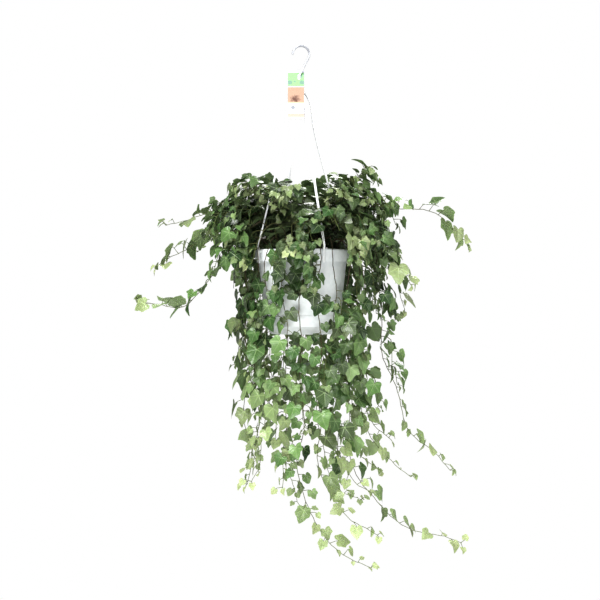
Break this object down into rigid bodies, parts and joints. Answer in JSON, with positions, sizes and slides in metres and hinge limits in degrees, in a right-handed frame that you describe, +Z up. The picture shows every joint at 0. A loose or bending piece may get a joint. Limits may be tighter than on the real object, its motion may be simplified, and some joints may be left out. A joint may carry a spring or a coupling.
{
  "type": "potted ivy",
  "caption": "Trailing ivy in a white plastic hanging pot with a clip-on saucer, a strap hanger ending in a hook, and a plant label.",
  "frame": {"origin": "inside crest of the hook, where the object hangs", "axes": "+Z up, -Y towards the front, +X to the right when seen from the front"},
  "size_m": [0.6621, 0.4262, 1.025],
  "materials": {
    "hanger_plastic": "satin",
    "pot_plastic": "satin",
    "potting_soil": "matte",
    "label_plastic": "satin",
    "ivy": "satin"
  },
  "bodies": {
    "root": {"care_label": "label_plastic", "crown_shoot_1": "ivy", "crown_shoot_2": "ivy", "crown_shoot_3": "ivy", "crown_shoot_4": "ivy", "crown_shoot_5": "ivy", "crown_shoot_6": "ivy", "crown_shoot_7": "ivy", "crown_shoot_8": "ivy", "hanger": "hanger_plastic", "pot": "pot_plastic", "saucer": "pot_plastic", "side_shoot_01": "ivy", "side_shoot_02": "ivy", "side_shoot_03": "ivy", "side_shoot_04": "ivy", "side_shoot_05": "ivy", "side_shoot_06": "ivy", "side_shoot_07": "ivy", "side_shoot_08": "ivy", "side_shoot_09": "ivy", "side_shoot_10": "ivy", "side_shoot_11": "ivy", "side_shoot_12": "ivy", "side_shoot_13": "ivy", "side_shoot_14": "ivy", "side_shoot_15": "ivy", "side_shoot_16": "ivy", "soil": "potting_soil", "trailing_vine_01": "ivy", "trailing_vine_02": "ivy", "trailing_vine_03": "ivy", "trailing_vine_04": "ivy", "trailing_vine_05": "ivy", "trailing_vine_06": "ivy", "trailing_vine_07": "ivy", "trailing_vine_08": "ivy", "trailing_vine_09": "ivy", "trailing_vine_10": "ivy", "trailing_vine_11": "ivy", "trailing_vine_12": "ivy", "trailing_vine_13": "ivy", "trailing_vine_14": "ivy", "trailing_vine_15": "ivy", "trailing_vine_16": "ivy", "trailing_vine_17": "ivy", "trailing_vine_18": "ivy", "trailing_vine_19": "ivy", "trailing_vine_20": "ivy"}
  },
  "joints": []
}
